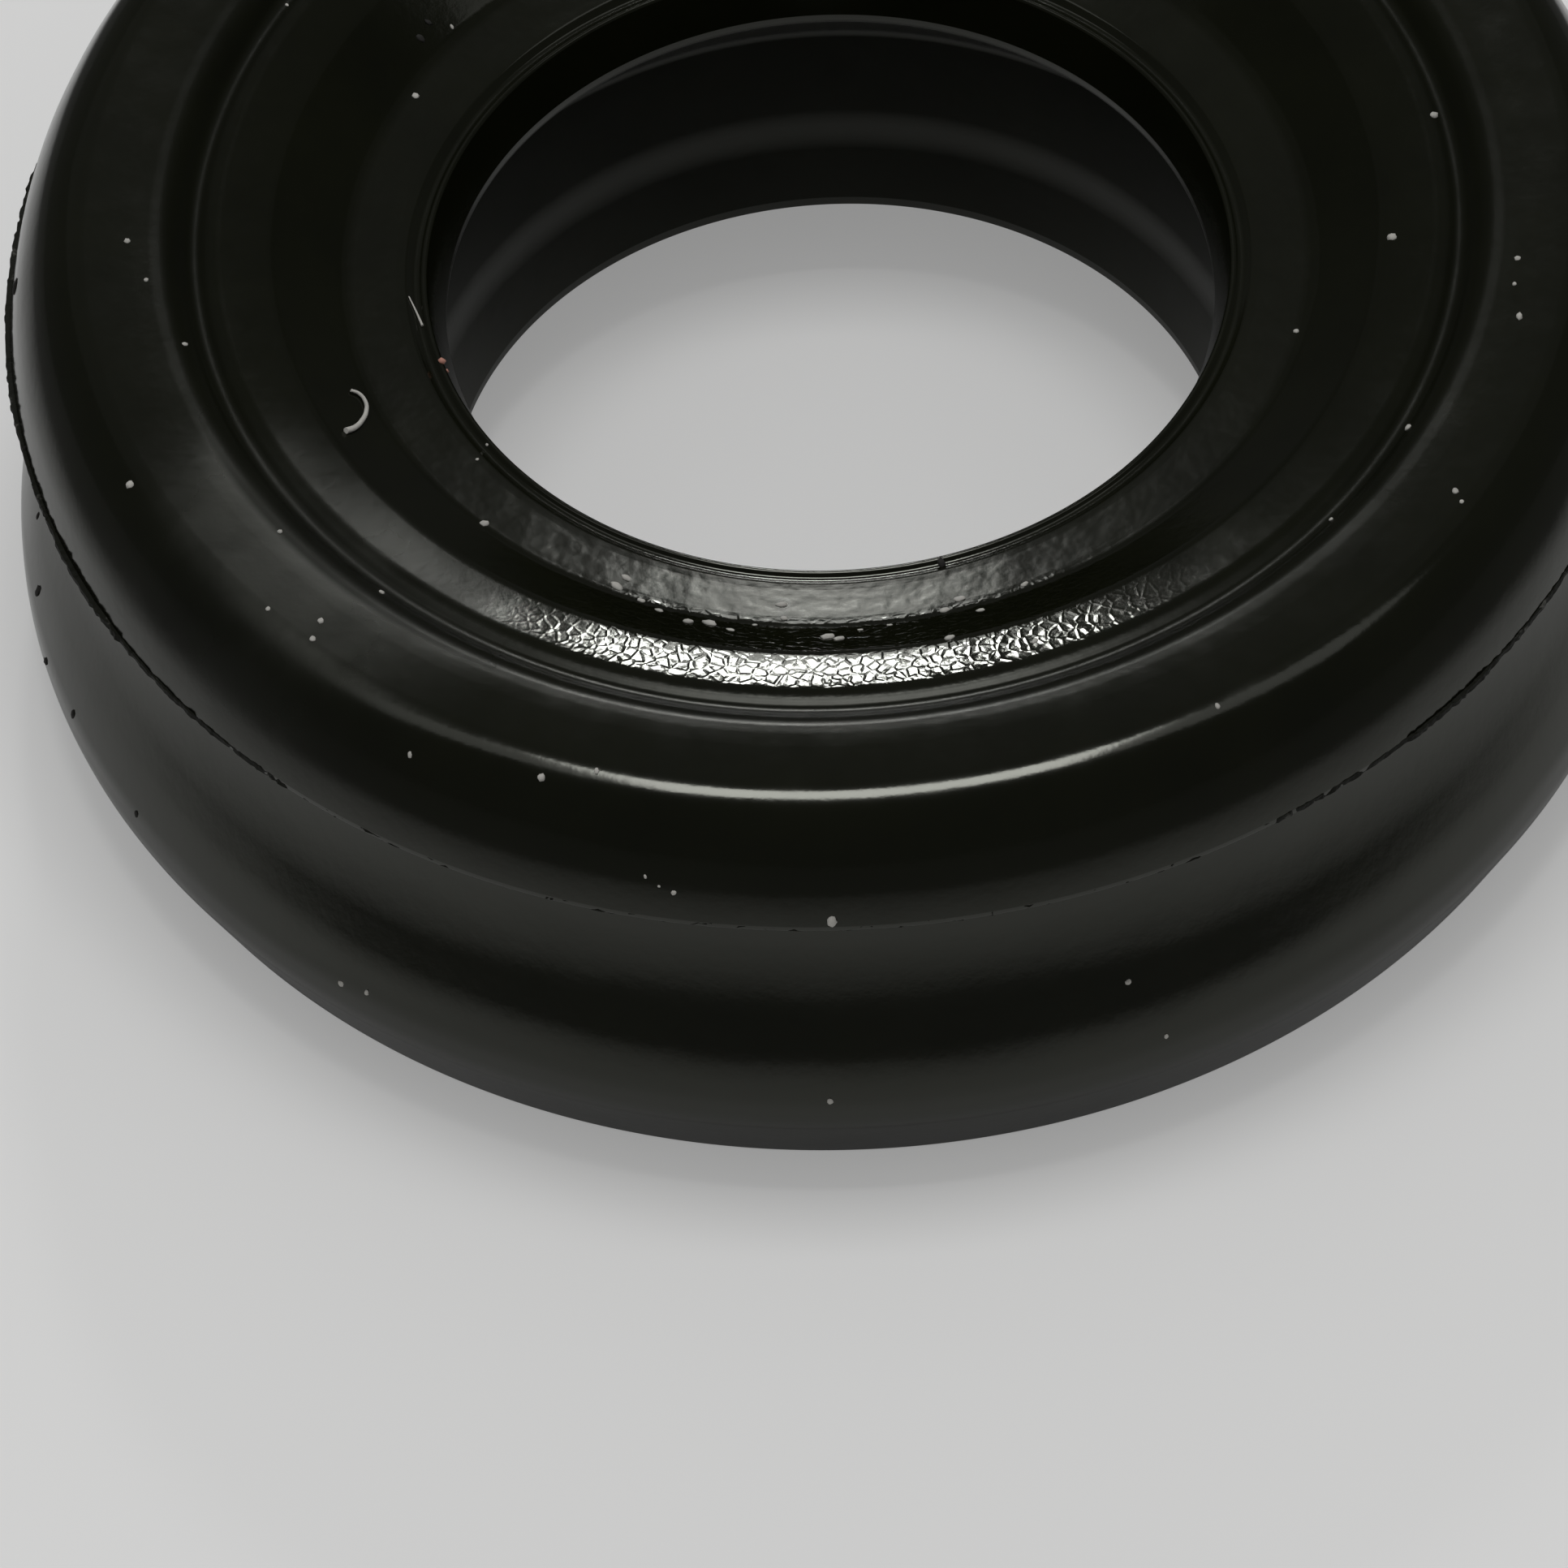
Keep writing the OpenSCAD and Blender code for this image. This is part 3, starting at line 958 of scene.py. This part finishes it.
def add_light(name, azimuth, elevation, distance, size, power):
    """A soft area light that faces the ring; azimuth 0 is the camera's side, 90 the right."""
    turn = math.radians(azimuth)
    rise = math.radians(elevation)
    way = Vector((math.sin(turn) * math.cos(rise), -math.cos(turn) * math.cos(rise), math.sin(rise)))
    centre = Vector((0, 0, TOP.z))
    bpy.ops.object.light_add(type="AREA", location=centre + distance * way)
    light = bpy.context.object
    light.name = name
    light.rotation_euler = (-way).to_track_quat("-Z", "Y").to_euler()
    light.data.shape = "RECTANGLE"
    light.data.size, light.data.size_y = size
    light.data.energy = power


def floor_material(stage):
    """A pale matt floor that keeps the ring's shadow, and darkens far off in what the rubber mirrors."""
    nodes = Nodes("studio_floor")
    nodes.set("Roughness", 0.9)
    nodes.set("Specular IOR Level", 0.0)
    away = nodes.add("ShaderNodeVectorMath", operation="LENGTH")
    nodes.tree.links.new(nodes.place, away.inputs[0])
    far = nodes.ramp(away.outputs["Value"], *DARK_FROM, low=DARK_LEAST)
    path = nodes.add("ShaderNodeLightPath")
    dark = nodes.math("MULTIPLY", far, path.outputs["Is Glossy Ray"])
    nodes.set("Base Color", nodes.blend(dark, stage.floor, DARK_FLOOR))
    backdrop = nodes.add("ShaderNodeEmission", Color=(*tone(stage.floor, BACKDROP_TONE), 1.0))
    seen = nodes.math("MULTIPLY", path.outputs["Is Camera Ray"], stage.backdrop)
    mix = nodes.add("ShaderNodeMixShader", Fac=seen)
    nodes.tree.links.new(nodes.shader.outputs[0], mix.inputs[1])
    nodes.tree.links.new(backdrop.outputs[0], mix.inputs[2])
    nodes.tree.links.new(mix.outputs[0], nodes.tree.nodes["Material Output"].inputs["Surface"])
    return nodes.material


def studio_world(stage):
    """An even pale room that the rubber's gloss mirrors as a dim one."""
    world = bpy.data.worlds.new("studio")
    world.use_nodes = True
    tree = world.node_tree
    path = tree.nodes.new("ShaderNodeLightPath")
    level = tree.nodes.new("ShaderNodeMapRange")
    level.inputs["To Min"].default_value = stage.ambient
    level.inputs["To Max"].default_value = stage.mirrored
    tree.links.new(path.outputs["Is Glossy Ray"], level.inputs["Value"])
    background = tree.nodes["Background"]
    background.inputs["Color"].default_value = (1.0, 1.0, 1.0, 1.0)
    tree.links.new(level.outputs[0], background.inputs["Strength"])
    return world


class SEAL_OT_stage(bpy.types.Operator):
    """Sets up the floor, the lights, the world and the camera"""

    bl_idname = "seal.stage"
    bl_label = "Stage"
    bl_options = {"REGISTER", "UNDO"}

    def execute(self, context):
        stage = context.scene.seal_stage
        deselect_all()
        bpy.ops.mesh.primitive_plane_add(size=2.0, location=(0, 0, BASE.z))
        floor = bpy.context.object
        floor.name = "studio_floor"
        place_at_origin(floor)
        floor.data.materials.append(floor_material(stage))
        for light in LIGHTS:
            add_light(*light)
        context.scene.world = studio_world(stage)
        context.scene.view_settings.view_transform = "Standard"
        add_camera(stage)
        return {"FINISHED"}


class SEAL_PT_panel(bpy.types.Panel):
    """Lists the pieces of the seal and its stage"""

    bl_idname = "SEAL_PT_panel"
    bl_label = "Shaft Seal"
    bl_space_type = "VIEW_3D"
    bl_region_type = "UI"
    bl_category = "Shaft Seal"

    def draw(self, context):
        for group in (context.scene.seal_section, context.scene.rubber_finish, context.scene.seal_stage):
            box = self.layout.box()
            for name in group.__annotations__:
                box.prop(group, name)
        for piece in PIECES:
            self.layout.operator(piece.bl_idname)


PIECES = (SEAL_OT_ring, SEAL_OT_flash, SEAL_OT_dust, SEAL_OT_fibres, SEAL_OT_stage)
GROUPS = {"seal_section": SealSection, "rubber_finish": RubberFinish, "seal_stage": StageSetup}


def register():
    for group in GROUPS.values():
        bpy.utils.register_class(group)
    for piece in (*PIECES, SEAL_PT_panel):
        bpy.utils.register_class(piece)
    for name, group in GROUPS.items():
        setattr(bpy.types.Scene, name, bpy.props.PointerProperty(type=group))


def unregister():
    for name in GROUPS:
        delattr(bpy.types.Scene, name)
    for piece in (SEAL_PT_panel, *PIECES):
        bpy.utils.unregister_class(piece)
    for group in GROUPS.values():
        bpy.utils.unregister_class(group)


def main():
    register()
    bpy.ops.seal.ring()
    bpy.ops.seal.flash()
    bpy.ops.seal.dust()
    bpy.ops.seal.fibres()
    bpy.ops.seal.stage()


if __name__ == "__main__":
    main()
